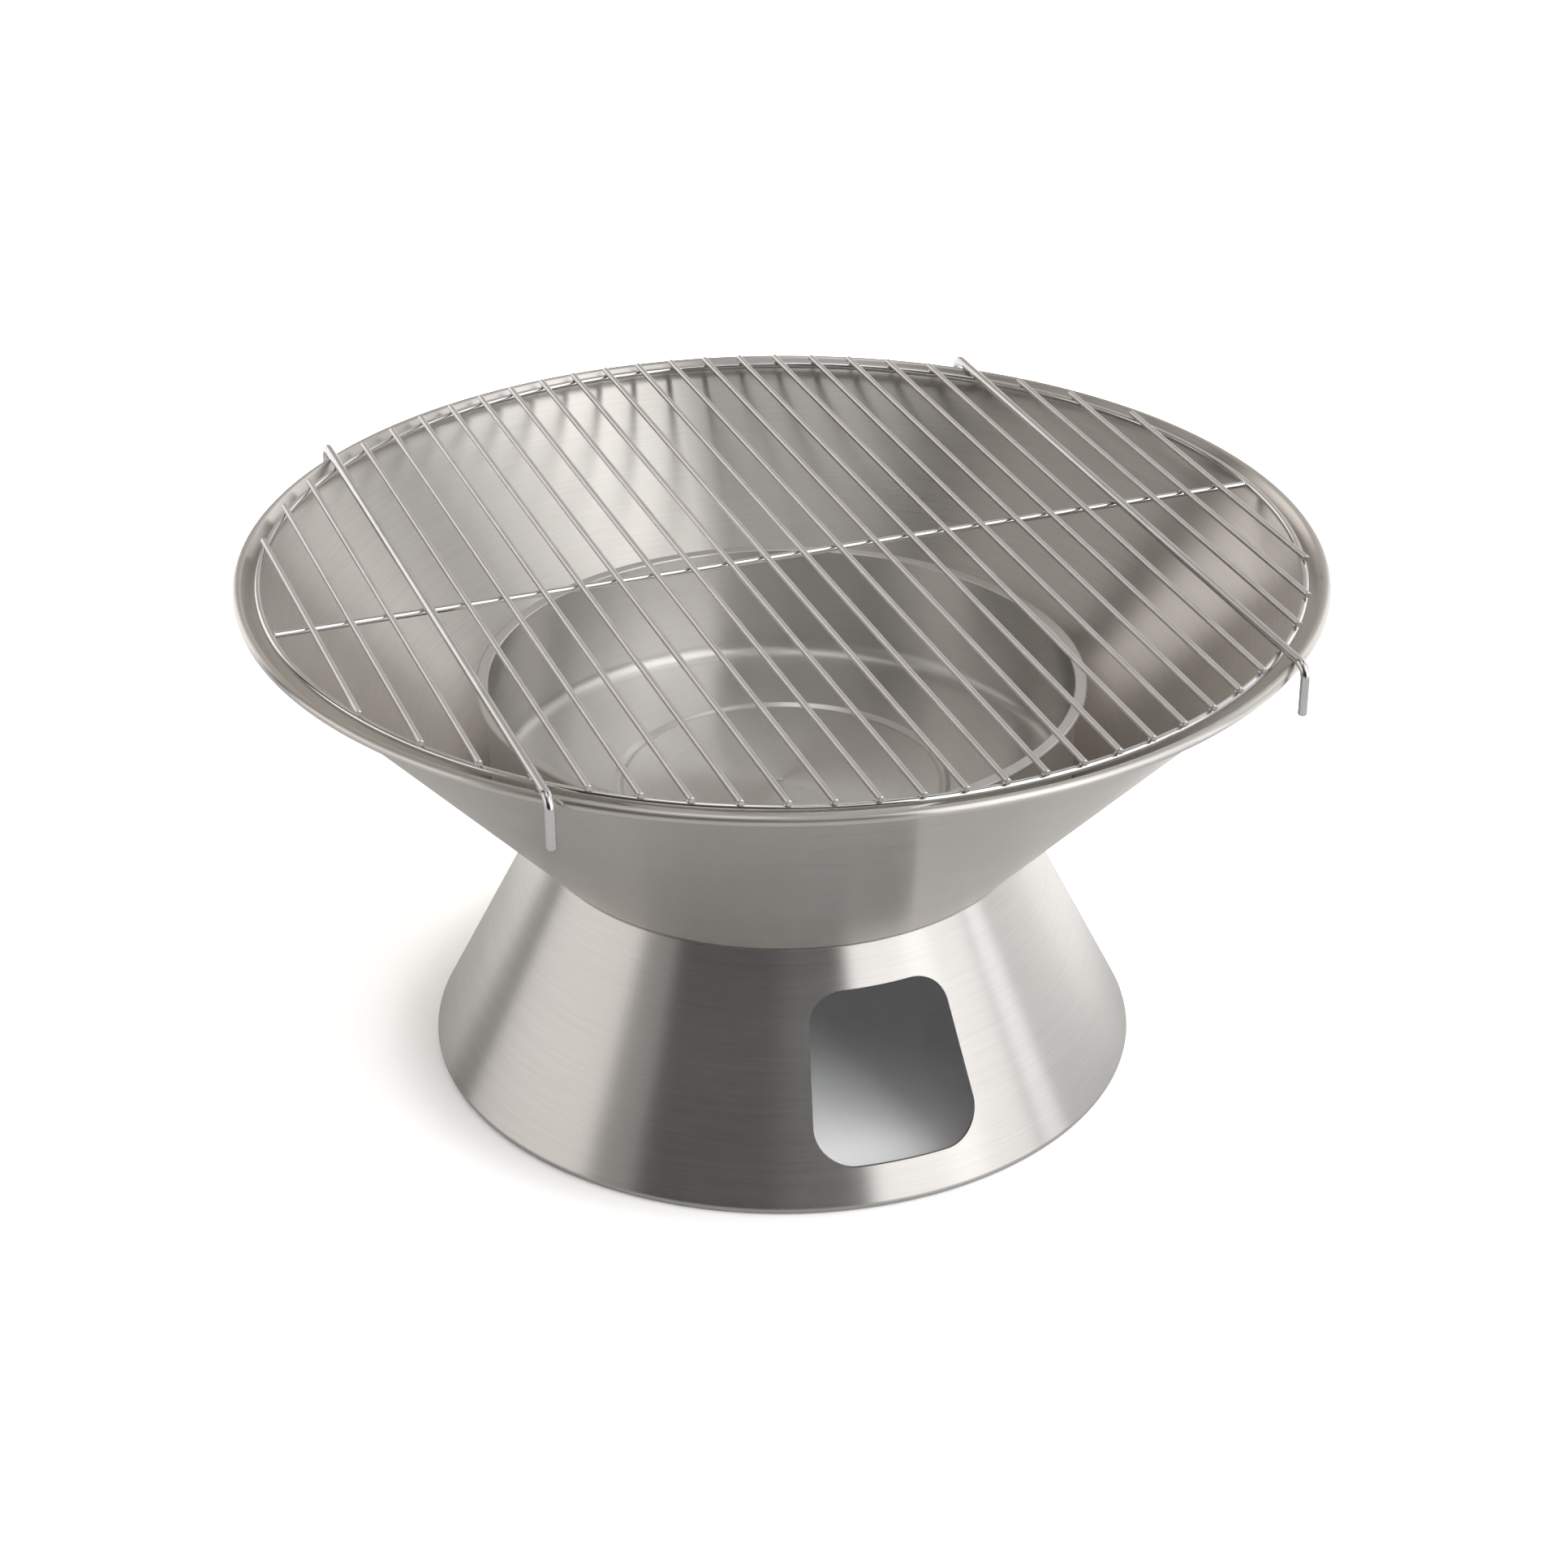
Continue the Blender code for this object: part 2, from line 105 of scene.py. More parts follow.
BOLT_RADIUS = 0.0025
HEAD_RADIUS = 0.00475
HEAD_HEIGHT = 0.0027
HEAD_EDGE = 0.00054
CROWN_FLAT = 0.0022
SOCKET_RADIUS = 0.0017
SOCKET_DEPTH = 0.0016
NUT_RADIUS = 0.00462
NUT_CHAMFER = 0.0005
NUT_CHAMFER_HEIGHT = 0.0004
BORE_CLEARANCE = 0.0001
THREAD_PITCH = 0.0008
THREAD_DEPTH = 0.00035
THREAD_CREST = 0.15             # where crest and root lie, as shares of the pitch
THREAD_ROOT = 0.35

# Fineness of the meshes
SEGMENTS = 256
WIRE_SIDES = 24
RING_SIDES = 20
BOLT_SEGMENTS = 32
NUT_SIDES = 24
FLOOR_SEGMENTS = 96
NUGGET_SUBDIVISIONS = 3
NECK_STEPS, NECK_INNER_STEPS = 10, 4
RIM_STEPS = 28
FOOT_STEPS, FOOT_INNER_STEPS = 16, 8
OPENING_STEPS = 20
GROOVE_STEPS, GROOVE_UNDER_STEPS = 20, 12
FILLET_STEPS = 20
LIP_INNER_STEPS, LIP_OUTER_STEPS = 8, 12
PAN_CORNER_STEPS = 12
CENTRE_MARK_SHARES = (0.35, 0.6, 0.8, 1.0)
HOOK_STEPS = 16
HOOK_TIP_STEPS = 7
CROWN_STEPS = 8

# Shading and clean-up
SHARP_ANGLE = 35                # degrees: sharper edges are drawn as edges
FASTENER_SHARP_ANGLE = 25
SAME_DIRECTION = math.cos(math.radians(0.7))    # a face this close lies on a straight stretch
ON_AXIS = 1e-7                  # a smaller radius than this is a point on the axis
SLIVER = 1e-6                   # edges shorter than this are dissolved after a cut

# Worked out from those
RIM_RADIUS = bowl_high.x
RIM_TOP = bowl_high.z
FLANGE_LOW = bowl_low.z         # underside of the bowl's flange
FLANGE_HIGH = base_high.z       # top of the base's flange
NECK_HEIGHT = (FLANGE_LOW + FLANGE_HIGH) / 2
BASE_RADIUS = base_high.x
LIP_RADIUS = pan_high.x
PAN_TOP = pan_high.z
PAN_BOTTOM = pan_low.z + GROOVE_DEPTH
RING_RADIUS = ring_high.x - (ring_high.z - ring_low.z) / 2
RING_Z = (ring_high.z + ring_low.z) / 2
HANDLE_Z = handle_high.z - HANDLE_WIRE
HOOK_REACH = handle_high.y - HANDLE_WIRE
HOOK_TIP = handle_low.z

ROLL_CENTRE = (RIM_RADIUS - RIM_ROLL, RIM_TOP - RIM_ROLL)
run = ROLL_CENTRE[0] - NECK_RADIUS
rise = ROLL_CENTRE[1] - NECK_HEIGHT
BOWL_SLOPE = math.atan2(rise, run) + math.asin((RIM_ROLL - SHEET) / math.hypot(run, rise))

FOOT_CENTRE = (BASE_RADIUS - FOOT_ROLL, FOOT_ROLL)
run = FOOT_CENTRE[0] - NECK_RADIUS
drop = NECK_HEIGHT - FOOT_CENTRE[1]
BASE_SLOPE = math.atan2(drop, run) - math.asin(FOOT_ROLL / math.hypot(run, drop))

# ---------------------------------------------------------------- camera, light and floor

CAMERA_PLACE = (-0.5518, -1.5162, 1.0298)
CAMERA_YAW = math.radians(19.477)       # heading, from +Y towards +X
CAMERA_PITCH = math.radians(28.945)     # below the horizon
CAMERA_ROLL = math.radians(-0.386)
CAMERA_LENS = 76.31                     # millimetres, as is the sensor's width
CAMERA_SENSOR = 36.0
CAMERA_SHIFT = (0.01844, 0.01261)

STUDIO_TURN = math.radians(-20)         # azimuth of the studio's front
BACKGROUND = 1.0                        # what the camera sees behind the floor
AMBIENT = 0.024                         # light from where there is no panel

FLOOR_RADIUS = 14.0
FLOOR_COLOUR = (0.890, 0.90, 0.910)
# How many times paler the floor is to the camera than to the steel: next to the base, and from
# the shade's width outside it. The lower gain next to the base is painted shade round the base,
# seen by the camera only
FLOOR_NEAR_GAIN = 2.08
FLOOR_FAR_GAIN = 2.60
FLOOR_PAINTED_SHADE_WIDTH = 0.040
# How much paler still it gets, for camera and steel alike, as a share: a painted pool of light
# beyond the rim towards this azimuth from the studio's front, and another painted pool of light
# inside the base
FLOOR_PAINTED_BACK_LIGHT = 1.0
FLOOR_PAINTED_LIGHT_TURN = math.radians(160)
FLOOR_PAINTED_INSIDE_LIGHT = 0.45

# Softboxes and pale walls: azimuth from the studio's front, positive to its right, and elevation,
# each from and to, then half the width of the soft edges at the sides and at the top and bottom,
# all in degrees, then how bright the panel is and how warm
PANELS = (
    ((28, 84.5), (-12, 70), (1.5, 6), 1.64, 0.0),
    ((54, 66), (-12, 70), (1.5, 6), 0.36, 0.0),
    ((86.5, 96), (-12, 70), (1, 6), 1.78, -0.01),
    ((96, 128), (-12, 70), (3, 6), 0.80, 0.0),
    ((128, 152), (-12, 44), (4, 8), 1.30, 0.01),
    ((152, 181), (-12, 70), (4, 6), 0.64, 0.02),
    ((-181, -126), (-12, 70), (5, 6), 0.45, 0.07),
    ((-152, -126), (-12, 26), (5, 8), 0.86, 0.02),
    ((-112, -62), (-12, 70), (3, 6), 0.36, 0.05),
    ((-112, -62), (-12, 26), (3, 8), 0.95, 0.02),
    ((-62, -46), (-12, 30), (1.5, 8), 0.36, 0.02),
    ((-46, 24), (42, 70), (8, 8), 0.24, 0.0),
    ((0, 27), (36, 70), (6, 8), 0.48, 0.0),
    ((-181, 0), (70, 82), (1, 6), 1.25, 0.02),
    ((-181, 181), (80, 91), (1, 4), 1.05, 0.0),
)


def aim_camera():
    """A camera at the viewing angle of a person who stands before the fire pit."""
    lens = bpy.data.cameras.new("camera")
    lens.lens = CAMERA_LENS
    lens.sensor_width = CAMERA_SENSOR
    lens.shift_x, lens.shift_y = CAMERA_SHIFT
    camera = bpy.data.objects.new("camera", lens)
    bpy.context.scene.collection.objects.link(camera)
    turn = Matrix.Rotation(-CAMERA_YAW, 4, "Z")
    tip = Matrix.Rotation(UP - CAMERA_PITCH, 4, "X")
    roll = Matrix.Rotation(CAMERA_ROLL, 4, "Z")
    camera.matrix_world = Matrix.Translation(CAMERA_PLACE) @ turn @ tip @ roll
    bpy.context.scene.camera = camera


class Tree:
    """Short calls for making shader nodes. Each returns the output socket that is used."""

    def __init__(self, tree):
        self.tree = tree

    def put(self, socket, value):
        """Set an input, or link it if the value is another node's output."""
        if isinstance(value, bpy.types.NodeSocket):
            self.tree.links.new(value, socket)
        else:
            socket.default_value = value

    def math(self, operation, *values):
        node = self.tree.nodes.new("ShaderNodeMath")
        node.operation = operation
        for socket, value in zip(node.inputs, values):
            self.put(socket, value)
        return node.outputs[0]

    def vector(self, operation, *values, output=0):
        node = self.tree.nodes.new("ShaderNodeVectorMath")
        node.operation = operation
        for socket, value in zip(node.inputs, values):
            self.put(socket, value)
        return node.outputs[output]

    def split(self, vector):
        node = self.tree.nodes.new("ShaderNodeSeparateXYZ")
        self.put(node.inputs[0], vector)
        return node.outputs

    def join(self, x, y, z):
        node = self.tree.nodes.new("ShaderNodeCombineXYZ")
        for socket, value in zip(node.inputs, (x, y, z)):
            self.put(socket, value)
        return node.outputs[0]

    def step(self, value, low, high, to_low=0.0, to_high=1.0, smooth=True):
        """Remap a value, smoothly or straight."""
        node = self.tree.nodes.new("ShaderNodeMapRange")
        node.interpolation_type = "SMOOTHSTEP" if smooth else "LINEAR"
        for socket, number in zip(node.inputs, (value, low, high, to_low, to_high)):
            self.put(socket, number)
        return node.outputs[0]

    def noise(self, vector, scale, detail=2.0, roughness=0.5):
        node = self.tree.nodes.new("ShaderNodeTexNoise")
        self.put(node.inputs["Vector"], vector)
        self.put(node.inputs["Scale"], scale)
        self.put(node.inputs["Detail"], detail)
        self.put(node.inputs["Roughness"], roughness)
        return node.outputs["Fac"]

    def mix(self, factor, first, second):
        node = self.tree.nodes.new("ShaderNodeMix")
        node.data_type = "RGBA"
        self.put(node.inputs["Factor"], factor)
        self.put(node.inputs["A"], first)
        self.put(node.inputs["B"], second)
        return next(s for s in node.outputs if s.type == "RGBA")


def studio_direction(azimuth):
    """A level direction, given by its azimuth from the studio's front."""
    return math.sin(STUDIO_TURN + azimuth), -math.cos(STUDIO_TURN + azimuth), 0.0


def light_studio():
    """Soft light from panels all round. The camera itself sees a plain white background."""
    world = bpy.data.worlds.new("studio")
    world.use_nodes = True
    bpy.context.scene.world = world
    world.node_tree.nodes.clear()
    tree = Tree(world.node_tree)
    place = world.node_tree.nodes.new("ShaderNodeTexCoord").outputs["Generated"]
    towards_front = tree.vector("DOT_PRODUCT", place, studio_direction(0.0), output=1)
    towards_right = tree.vector("DOT_PRODUCT", place, studio_direction(UP), output=1)
    azimuth = tree.math("DEGREES", tree.math("ARCTAN2", towards_right, towards_front))
    elevation = tree.math("DEGREES", tree.math("ARCSINE", tree.split(place)[2]))
    glow = (AMBIENT, AMBIENT, AMBIENT)
    for (left_end, right_end), (low_end, high_end), (side, tall), strength, warmth in PANELS:
        across = tree.math(
            "MULTIPLY",
            tree.step(azimuth, left_end - side, left_end + side),
            tree.step(azimuth, right_end - side, right_end + side, 1.0, 0.0),
        )
        upwards = tree.math(
            "MULTIPLY",
            tree.step(elevation, low_end - tall, low_end + tall),
            tree.step(elevation, high_end - tall, high_end + tall, 1.0, 0.0),
        )
        panel = tree.math("MULTIPLY", across, upwards)
        colour = (strength * (1.0 + warmth), strength, strength * (1.0 - warmth))
        glow = tree.vector("MULTIPLY_ADD", panel, colour, glow)
    seen = world.node_tree.nodes.new("ShaderNodeLightPath").outputs["Is Camera Ray"]
    sky = tree.mix(seen, glow, (BACKGROUND, BACKGROUND, BACKGROUND, 1.0))
    background = world.node_tree.nodes.new("ShaderNodeBackground")
    tree.put(background.inputs["Color"], sky)
    output = world.node_tree.nodes.new("ShaderNodeOutputWorld")
    world.node_tree.links.new(background.outputs[0], output.inputs[0])


def lay_floor():
    """A pale floor, far wider than any view of it. It is paler to the camera than to the
    steel, so that it looks white without filling the reflections. Painted light and shade lie on
    it: painted shade next to the base, and painted pools of light behind the rim and inside the
    base."""
    material = bpy.data.materials.new("floor")
    material.use_nodes = True
    material.node_tree.nodes.clear()
    tree = Tree(material.node_tree)
    seen = material.node_tree.nodes.new("ShaderNodeLightPath").outputs["Is Camera Ray"]
    matt = material.node_tree.nodes.new("ShaderNodeBsdfDiffuse")
    place = object_place(tree)
    backwards = tree.vector("DOT_PRODUCT", place, studio_direction(FLOOR_PAINTED_LIGHT_TURN), output=1)
    outwards = tree.vector("LENGTH", place, output=1)
    # painted shade: to the camera the floor next to the base is darker than further out
    painted_shade_edge = BASE_RADIUS + FLOOR_PAINTED_SHADE_WIDTH
    paler = tree.step(outwards, BASE_RADIUS, painted_shade_edge, FLOOR_NEAR_GAIN, FLOOR_FAR_GAIN)
    gain = tree.step(seen, 0.0, 1.0, 1.0, paler, smooth=False)
    # painted light: a paler patch of floor behind the rim, seen by camera and steel alike
    lift = tree.step(backwards, NECK_RADIUS, RIM_RADIUS, 1.0, 1.0 + FLOOR_PAINTED_BACK_LIGHT)
    gain = tree.math("MULTIPLY", gain, lift)
    # painted light: the floor inside the base is paler, fading out towards the foot
    foot_inner = BASE_RADIUS - FOOT_WIDTH
    inside = tree.step(outwards, NECK_RADIUS, foot_inner, 1.0 + FLOOR_PAINTED_INSIDE_LIGHT, 1.0)
    gain = tree.math("MULTIPLY", gain, inside)
    colour = tree.vector("SCALE", FLOOR_COLOUR)
    tree.put(colour.node.inputs["Scale"], gain)
    tree.put(matt.inputs["Color"], colour)
    output = material.node_tree.nodes.new("ShaderNodeOutputMaterial")
    tree.put(output.inputs[0], matt.outputs[0])
    bm = bmesh.new()
    bmesh.ops.create_circle(bm, cap_ends=True, segments=FLOOR_SEGMENTS, radius=FLOOR_RADIUS)
    mesh = bpy.data.meshes.new("floor")
    bm.to_mesh(mesh)
    bm.free()
    mesh.materials.append(material)
    floor = bpy.data.objects.new("floor", mesh)
    bpy.context.scene.collection.objects.link(floor)


# ---------------------------------------------------------------- finishes

# Brushed sheet: dark and light tint, anisotropy, and fall, which is 1 where radius and height
# grow together along the section and -1 where one grows as the other shrinks
BOWL_FINISH = ((0.565, 0.530, 0.485), (0.735, 0.717, 0.692), 0.95, 1)
BASE_FINISH = ((0.540, 0.518, 0.495), (0.710, 0.692, 0.670), 0.93, -1)
PAN_FINISH = ((0.690, 0.670, 0.645), (0.81, 0.795, 0.775), 0.94, 1)

# Wire and the like: dark and light tint, roughness, how much it varies, and pitting
RING_FINISH = ((0.64, 0.63, 0.62), (0.80, 0.79, 0.78), 0.10, 0.03, 0.03)
BAR_FINISH = ((0.62, 0.605, 0.59), (0.77, 0.76, 0.75), 0.31, 0.03, 0.10)
HANDLE_FINISH = ((0.58, 0.57, 0.56), (0.73, 0.725, 0.72), 0.18, 0.02, 0.05)
FASTENER_FINISH = ((0.48, 0.48, 0.485), (0.62, 0.62, 0.625), 0.30, 0.06, 0.12)
INSIDE_FINISH = ((0.82, 0.82, 0.82), (0.90, 0.90, 0.90), 0.50, 0.05, 0.05)

# Brushing: how fine it is round the cone and along its section, then detail and roughness of the
# noise. Hairs are the finest strokes, lines the broader ones.
HAIR = (30.0, 1700.0, 3.0, 0.6)
LINES = (9.0, 560.0, 2.0, 0.5)
HAIR_SHARE = 0.55
LINES_SHARE = 0.45
SHEET_ROUGHNESS = 0.29
SHEET_SPREAD = 0.010
SHADE_RANGE = (0.32, 0.68)      # the part of the noise that goes from dark to light,
SHADE_SWING = 0.21              # how far it goes,
GLOSS_RANGE = (0.3, 0.7)        # and the part that goes from least to most rough
HAZE = (9.0, 3.0, 0.55)         # cloudiness: scale, detail and roughness of the noise
HAZE_ON_SHADE = 0.5
HAZE_ON_GLOSS = 0.06
HAIR_BUMP = (0.004, 0.0001)     # strength and distance
BRUSHED_ROUND = 0.25            # a quarter turn, so that the gloss runs across the strokes

# Wire: scale, detail and roughness of its noises, and the part of their blend that is used
SPECKLE = (1900.0, 2.0, 0.6)
CLOUD = (60.0, 3.0, 0.6)
WIRE_RANGE = (0.34, 0.66)
PITTING_DISTANCE = 0.0002


def new_steel(name):
    """A metallic material, its tree and its Principled shader."""
    material = bpy.data.materials.new(name)
    material.use_nodes = True
    shader = material.node_tree.nodes["Principled BSDF"]
    shader.inputs["Metallic"].default_value = 1.0
    return material, Tree(material.node_tree), shader


def object_place(tree):
    """Position in the CAD's own frame at rest, because every object starts at the origin."""
    return tree.tree.nodes.new("ShaderNodeTexCoord").outputs["Object"]


def bump(tree, shader, height, strength, distance):
    """Tilt the surface by a height field."""
    node = tree.tree.nodes.new("ShaderNodeBump")
    node.inputs["Strength"].default_value = strength
    node.inputs["Distance"].default_value = distance
    tree.put(node.inputs["Height"], height)
    tree.put(shader.inputs["Normal"], node.outputs[0])


def strokes(tree, x, y, along, round_scale, along_scale, detail, roughness):
    """Noise that is drawn out round the axis and fine along the section."""
    place = tree.join(
        tree.math("MULTIPLY", x, round_scale),
        tree.math("MULTIPLY", y, round_scale),
        tree.math("MULTIPLY", along, along_scale),
    )
    return tree.noise(place, 1.0, detail, roughness)


def brushed_sheet(name, dark, light, anisotropy, fall):
    """Sheet that was brushed round and round."""
    material, tree, shader = new_steel(name)
    place = object_place(tree)
    x, y, z = tree.split(place)
    radius = tree.vector("LENGTH", tree.join(x, y, 0.0), output=1)
    along = tree.math("MULTIPLY_ADD", z, float(fall), radius)
    hair = strokes(tree, x, y, along, *HAIR)
    lines = strokes(tree, x, y, along, *LINES)
    haze = tree.math("SUBTRACT", tree.noise(place, *HAZE), 0.5)
    hair_part = tree.math("MULTIPLY", hair, HAIR_SHARE)
    streaks = tree.math("MULTIPLY_ADD", lines, LINES_SHARE, hair_part)
    shade = tree.step(
        streaks, *SHADE_RANGE, 0.5 - SHADE_SWING, 0.5 + SHADE_SWING, smooth=False,
    )
    shade = tree.math("MULTIPLY_ADD", haze, HAZE_ON_SHADE, shade)
    tree.put(shader.inputs["Base Color"], tree.mix(shade, (*dark, 1.0), (*light, 1.0)))
    least = SHEET_ROUGHNESS - SHEET_SPREAD
    most = SHEET_ROUGHNESS + SHEET_SPREAD
    gloss = tree.step(streaks, *GLOSS_RANGE, least, most, smooth=False)
    gloss = tree.math("MULTIPLY_ADD", haze, HAZE_ON_GLOSS, gloss)
    tree.put(shader.inputs["Roughness"], gloss)
    shader.inputs["Anisotropic"].default_value = anisotropy
    shader.inputs["Anisotropic Rotation"].default_value = BRUSHED_ROUND
    tangent = tree.tree.nodes.new("ShaderNodeTangent")
    tangent.direction_type = "RADIAL"
    tangent.axis = "Z"
    tree.put(shader.inputs["Tangent"], tangent.outputs[0])
    bump(tree, shader, hair, *HAIR_BUMP)
    return material


def wire_steel(name, dark, light, roughness, spread, pitting):
    """Round wire: fine speckle and soft cloudiness."""
    material, tree, shader = new_steel(name)
    place = object_place(tree)
    speckle = tree.noise(place, *SPECKLE)
    cloud = tree.noise(place, *CLOUD)
    blend = tree.math("MULTIPLY_ADD", speckle, 0.5, tree.math("MULTIPLY", cloud, 0.5))
    shade = tree.step(blend, *WIRE_RANGE, smooth=False)
    tree.put(shader.inputs["Base Color"], tree.mix(shade, (*dark, 1.0), (*light, 1.0)))
    gloss = tree.step(blend, *WIRE_RANGE, roughness - spread, roughness + spread, smooth=False)
    tree.put(shader.inputs["Roughness"], gloss)
    bump(tree, shader, speckle, pitting, PITTING_DISTANCE)
    return material


# ---------------------------------------------------------------- mesh tools


def arc(centre, radius, start, end, steps):
    """Points along an arc from angle start to angle end, both ends included."""
    points = []
    for i in range(steps + 1):
        angle = start + (end - start) * i / steps
        x = centre[0] + radius * math.cos(angle)
        y = centre[1] + radius * math.sin(angle)
        points.append((x, y))
    return points


def finish_mesh(name, bm, straights=(), sharp=SHARP_ANGLE):
    """Turn a bmesh into a smooth-shaded object."""
    bmesh.ops.recalc_face_normals(bm, faces=bm.faces)
    mesh = bpy.data.meshes.new(name)
    bm.to_mesh(mesh)
    bm.free()
    mesh.shade_smooth()
    mesh.set_sharp_from_angle(angle=math.radians(sharp))
    if straights:
        even_normals(mesh, straights)
    piece = bpy.data.objects.new(name, mesh)
    bpy.context.scene.collection.objects.link(piece)
    return piece


def even_normals(mesh, straights):
    """Give the straight stretches of a turned section their exact normals. A straight stretch is
    one long face, and averaged normals would make it look curved. Each is given as the
    (outward, upward) parts of its normal, up to sign."""
    normals = [corner.vector.copy() for corner in mesh.corner_normals]
    for face in mesh.polygons:
        facing = math.hypot(face.center.x, face.center.y) or 1.0
        outward = (face.normal.x * face.center.x + face.normal.y * face.center.y) / facing
        for side, top in straights:
            match = outward * side + face.normal.z * top
            if abs(match) < SAME_DIRECTION:
                continue
            sign = math.copysign(1.0, match)
            for corner in face.loop_indices:
                spot = mesh.vertices[mesh.loops[corner].vertex_index].co
                reach = math.hypot(spot.x, spot.y) or 1.0
                exact = Vector((side * spot.x / reach, side * spot.y / reach, top))
                normals[corner] = sign * exact
            break
    mesh.normals_split_custom_set(normals)


def turned(profile, segments):
    """Turn a profile of (radius, height) points round Z. It is a closed outline, or an open one
    whose two ends are on the axis."""
    bm = bmesh.new()
    rings = []
    for radius, height in profile:
        if radius < ON_AXIS:
            rings.append([bm.verts.new((0.0, 0.0, height))])
            continue
        ring = []
        for i in range(segments):
            angle = math.tau * i / segments
            spot = (radius * math.cos(angle), radius * math.sin(angle), height)
            ring.append(bm.verts.new(spot))
        rings.append(ring)
    pairs = list(zip(rings, rings[1:]))
    if profile[0][0] > 0.0:
        pairs.append((rings[-1], rings[0]))
    for one, other in pairs:
        for i in range(segments):
            j = (i + 1) % segments
            corners = [
                one[i % len(one)], one[j % len(one)],
                other[j % len(other)], other[i % len(other)],
            ]
            bm.faces.new(list(dict.fromkeys(corners)))      # a ring on the axis is one point
    return bm


def swept(stations, sides):
    """A wire along a path in the YZ plane. A station is (y, z, heading, wire radius)."""
    bm = bmesh.new()
    rings = []
    for y, z, heading, radius in stations:
        ring = []
        for i in range(sides):
            angle = math.tau * i / sides
            side = radius * math.cos(angle)
            lift = radius * math.sin(angle)
            spot = (side, y - lift * math.sin(heading), z + lift * math.cos(heading))
            ring.append(bm.verts.new(spot))
        rings.append(ring)
    for ring, following in zip(rings, rings[1:]):
        for i in range(sides):
            j = (i + 1) % sides
            bm.faces.new((ring[i], ring[j], following[j], following[i]))
    bm.faces.new(rings[0])
    bm.faces.new(rings[-1])
    return bm


def settle(piece, material, body, slot, *nodes):
    """Give a piece its finish, its body and the CAD nodes that it stands for. The slot is not
    used.
    """
    piece.data.materials.append(material)
    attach(piece, body)
    if nodes:
        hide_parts(*nodes)
    return piece


def cut(piece, cutter_bm):
    """Cut a closed bmesh out of the piece for good."""
    bmesh.ops.recalc_face_normals(cutter_bm, faces=cutter_bm.faces)
    mesh = bpy.data.meshes.new("cutter")
    cutter_bm.to_mesh(mesh)
    cutter_bm.free()
    cutter = bpy.data.objects.new("cutter", mesh)
    bpy.context.scene.collection.objects.link(cutter)
    change = piece.modifiers.new("cut", "BOOLEAN")
    change.operation = "DIFFERENCE"
    change.solver = "EXACT"
    change.object = cutter
    view = bpy.context.evaluated_depsgraph_get()
    done = bpy.data.meshes.new_from_object(piece.evaluated_get(view))
    bm = bmesh.new()
    bm.from_mesh(done)
    bmesh.ops.dissolve_degenerate(bm, dist=SLIVER, edges=bm.edges)
    bm.to_mesh(done)
    bm.free()
    piece.modifiers.clear()
    piece.data = done
    bpy.data.objects.remove(cutter)


# ---------------------------------------------------------------- sheet parts


def bowl_profile():
    """Outline of the bowl's sheet, from the neck flange round the rim and back."""
    along = (math.cos(BOWL_SLOPE), math.sin(BOWL_SLOPE))
    inward = (-along[1], along[0])
    outward_angle = BOWL_SLOPE - UP
    bend_z = FLANGE_LOW + NECK_BEND
    travel = (bend_z - NECK_HEIGHT - NECK_BEND * inward[1]) / along[1]
    bend = (NECK_RADIUS + NECK_BEND * inward[0] + travel * along[0], bend_z)
    tuck = math.sqrt(RIM_ROLL ** 2 - (RIM_ROLL - SHEET) ** 2)
    under_x = inward[0] * (RIM_ROLL - SHEET) - along[0] * tuck
    under_z = inward[1] * (RIM_ROLL - SHEET) - along[1] * tuck
    roll_start = math.atan2(under_z, under_x)
    outline = [(NECK_BORE, FLANGE_LOW)]
    outline += arc(bend, NECK_BEND, -UP, outward_angle, NECK_STEPS)
    outline += arc(ROLL_CENTRE, RIM_ROLL, roll_start, BOWL_SLOPE + UP, RIM_STEPS)
    outline += arc(bend, NECK_BEND - SHEET, outward_angle, -UP, NECK_INNER_STEPS)
    outline.append((NECK_BORE, FLANGE_LOW + SHEET))
    return outline


def make_bowl():
    """The inverted cone with its rolled rim."""
    finish = brushed_sheet("bowl_steel", *BOWL_FINISH)
    straight = (math.sin(BOWL_SLOPE), -math.cos(BOWL_SLOPE))
    bowl = finish_mesh("bowl_shell", turned(bowl_profile(), SEGMENTS), (straight, (0.0, 1.0)))
    settle(bowl, finish, "stand", "bowl_steel", "bowl_cone")


def base_profile():
    """Outline of the base's sheet, from the neck flange down to the turned-in foot and back."""
    along = (math.cos(BASE_SLOPE), -math.sin(BASE_SLOPE))
    outward = (math.sin(BASE_SLOPE), math.cos(BASE_SLOPE))
    outward_angle = UP - BASE_SLOPE
    bend_z = FLANGE_HIGH - NECK_BEND
    travel = (bend_z - NECK_HEIGHT + NECK_BEND * outward[1]) / along[1]
    bend = (NECK_RADIUS - NECK_BEND * outward[0] + travel * along[0], bend_z)
    foot_inner = BASE_RADIUS - FOOT_WIDTH
    outline = [(NECK_BORE, FLANGE_HIGH)]
    outline += arc(bend, NECK_BEND, UP, outward_angle, NECK_STEPS)
    outline += arc(FOOT_CENTRE, FOOT_ROLL, outward_angle, -UP, FOOT_STEPS)
    outline.append((foot_inner, 0.0))
    outline.append((foot_inner, SHEET))
    outline += arc(FOOT_CENTRE, FOOT_ROLL - SHEET, -UP, outward_angle, FOOT_INNER_STEPS)
    outline += arc(bend, NECK_BEND - SHEET, outward_angle, UP, NECK_INNER_STEPS)
    outline.append((NECK_BORE, FLANGE_HIGH - SHEET))
    return outline


